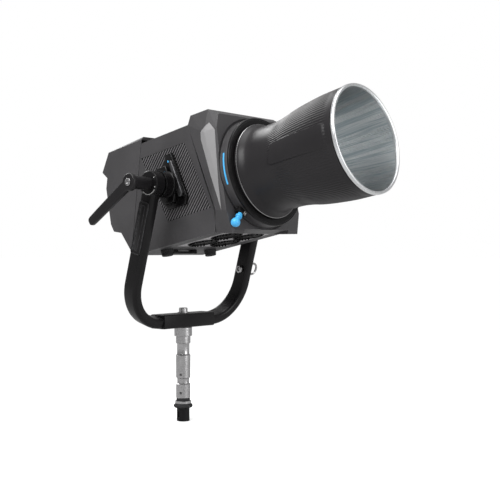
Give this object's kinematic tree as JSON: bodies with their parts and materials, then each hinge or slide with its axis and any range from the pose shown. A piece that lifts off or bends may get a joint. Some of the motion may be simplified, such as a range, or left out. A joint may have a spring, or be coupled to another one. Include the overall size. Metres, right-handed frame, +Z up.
{
  "type": "led spotlight with reflector",
  "caption": "Tilting studio spotlight head with a bell-shaped bowl reflector, hung in a U-shaped yoke with a tilt lever, on a stepped steel spigot for a lighting stand.",
  "frame": {"origin": "middle of the flat lower end of the spigot", "axes": "+Z up along the spigot, -Y towards the front of the lamp, X along the yoke bar and the tilt axis, tilt lever on the -X side"},
  "size_m": [0.4023, 0.5885, 0.6171],
  "materials": {
    "black_metal": "satin black powder coat",
    "case_grey": "fine-textured dark grey coat",
    "inlay_grey": "satin light grey coat",
    "plate_grey": "satin mid-grey coat",
    "steel": "turned, brushed",
    "bright_aluminium": "bright anodised",
    "rubber": "matte",
    "blue_plastic": "satin blue",
    "black_plastic": "fine-textured",
    "screen": "gloss",
    "copper": "milled copper",
    "phosphor": "phosphor-coated",
    "circuit_board": "solder mask"
  },
  "bodies": {
    "base": {"spigot_post": "black_metal", "spigot_buffer": "rubber", "spigot_flange": "steel", "spigot_seal": "rubber", "spigot_pin": "steel", "yoke_block": "black_metal", "block_bolt": "steel", "yoke_arm_left": "black_metal", "yoke_arm_right": "black_metal", "arm_strip": "black_plastic", "safety_eye": "steel", "safety_eye_nut": "steel", "pivot_cap": "black_metal"},
    "tilt_lever": {"tilt_lever": "black_metal", "tilt_lever_screw": "steel"},
    "head": {"bottom_bar": "black_metal", "mount_ring": "black_metal", "release_housing": "black_metal", "trunnion_left": "black_metal", "trunnion_right": "black_metal", "case_shell": "case_grey", "rear_cover": "case_grey", "front_bezel": "case_grey", "mount_drum": "case_grey", "inlay_left": "inlay_grey", "inlay_right": "inlay_grey", "bottom_plate": "plate_grey", "data_socket": "steel", "heat_sink": "bright_aluminium", "foot_left": "rubber", "foot_right": "rubber", "louvre_left": "black_plastic", "louvre_right": "black_plastic", "fan_guard_front_left": "black_plastic", "fan_guard_front_right": "black_plastic", "fan_guard_rear_left": "black_plastic", "fan_guard_rear_right": "black_plastic", "control_panel": "black_plastic", "power_inlet": "black_plastic", "display": "screen", "emitter_plate": "copper", "emitter": "phosphor", "driver_board": "circuit_board"},
    "reflector": {"reflector_barrel": "black_metal", "reflector_bowl": "bright_aluminium", "reflector_rim": "bright_aluminium"},
    "fan_front_left": {"fan_front_left": "black_plastic"},
    "fan_front_right": {"fan_front_right": "black_plastic"},
    "fan_rear_left": {"fan_rear_left": "black_plastic"},
    "fan_rear_right": {"fan_rear_right": "black_plastic"},
    "control_knob_left": {"control_knob_left": "black_plastic"},
    "control_knob_right": {"control_knob_right": "black_plastic"},
    "button_1": {"button_1": "rubber"},
    "button_2": {"button_2": "rubber"},
    "button_3": {"button_3": "rubber"},
    "power_rocker": {"power_rocker": "black_plastic"},
    "latch_left": {"latch_left": "plate_grey"},
    "latch_right": {"latch_right": "plate_grey"},
    "release_plunger": {"release_plunger": "blue_plastic"}
  },
  "joints": [
    {"name": "head_tilt", "type": "hinge", "parent": "base", "child": "head", "pos_m": [0, -0.07186, 0.45611], "axis": [-1, 0, 0], "range_deg": [-75, 80]},
    {"name": "tilt_lever_turn", "type": "hinge", "parent": "base", "child": "tilt_lever", "pos_m": [-0.205, -0.07186, 0.45611], "axis": [1, 0, 0], "range_deg": [-45, 45]},
    {"name": "reflector_twist", "type": "hinge", "parent": "head", "child": "reflector", "pos_m": [0, -0.21989, 0.48073], "axis": [0, -0.981, 0.1942], "range_deg": [0, 20]},
    {"name": "release_pull", "type": "slide", "parent": "head", "child": "release_plunger", "axis": [-0.7071, -0.1373, -0.6936], "range_m": [0, 0.006], "stiffness_N_per_m": 800},
    {"name": "fan_front_left_spin", "type": "hinge", "parent": "head", "child": "fan_front_left", "pos_m": [-0.0305, -0.1422, 0.37115], "axis": [0, 0.1942, 0.981], "continuous": true},
    {"name": "fan_front_right_spin", "type": "hinge", "parent": "head", "child": "fan_front_right", "pos_m": [0.0305, -0.1422, 0.37115], "axis": [0, 0.1942, 0.981], "continuous": true},
    {"name": "fan_rear_left_spin", "type": "hinge", "parent": "head", "child": "fan_rear_left", "pos_m": [-0.0305, -0.08236, 0.3593], "axis": [0, 0.1942, 0.981], "continuous": true},
    {"name": "fan_rear_right_spin", "type": "hinge", "parent": "head", "child": "fan_rear_right", "pos_m": [0.0305, -0.08236, 0.3593], "axis": [0, 0.1942, 0.981], "continuous": true},
    {"name": "control_knob_left_turn", "type": "hinge", "parent": "head", "child": "control_knob_left", "pos_m": [-0.056, 0.12667, 0.42903], "axis": [0, 0.981, -0.1942], "continuous": true},
    {"name": "control_knob_right_turn", "type": "hinge", "parent": "head", "child": "control_knob_right", "pos_m": [0.056, 0.12667, 0.42903], "axis": [0, 0.981, -0.1942], "continuous": true},
    {"name": "button_1_press", "type": "slide", "parent": "head", "child": "button_1", "axis": [0, -0.981, 0.1942], "range_m": [0, 0.0015], "stiffness_N_per_m": 400},
    {"name": "button_2_press", "type": "slide", "parent": "head", "child": "button_2", "axis": [0, -0.981, 0.1942], "range_m": [0, 0.0015], "stiffness_N_per_m": 400},
    {"name": "button_3_press", "type": "slide", "parent": "head", "child": "button_3", "axis": [0, -0.981, 0.1942], "range_m": [0, 0.0015], "stiffness_N_per_m": 400},
    {"name": "power_rocker_tip", "type": "hinge", "parent": "head", "child": "power_rocker", "pos_m": [-0.073, 0.11064, 0.39958], "axis": [1, 0, 0], "range_deg": [-7, 7]},
    {"name": "latch_left_swing", "type": "hinge", "parent": "head", "child": "latch_left", "pos_m": [-0.107, -0.09996, 0.43772], "axis": [1, 0, 0], "range_deg": [0, 60]},
    {"name": "latch_right_swing", "type": "hinge", "parent": "head", "child": "latch_right", "pos_m": [0.107, -0.09996, 0.43772], "axis": [1, 0, 0], "range_deg": [0, 60]}
  ]
}
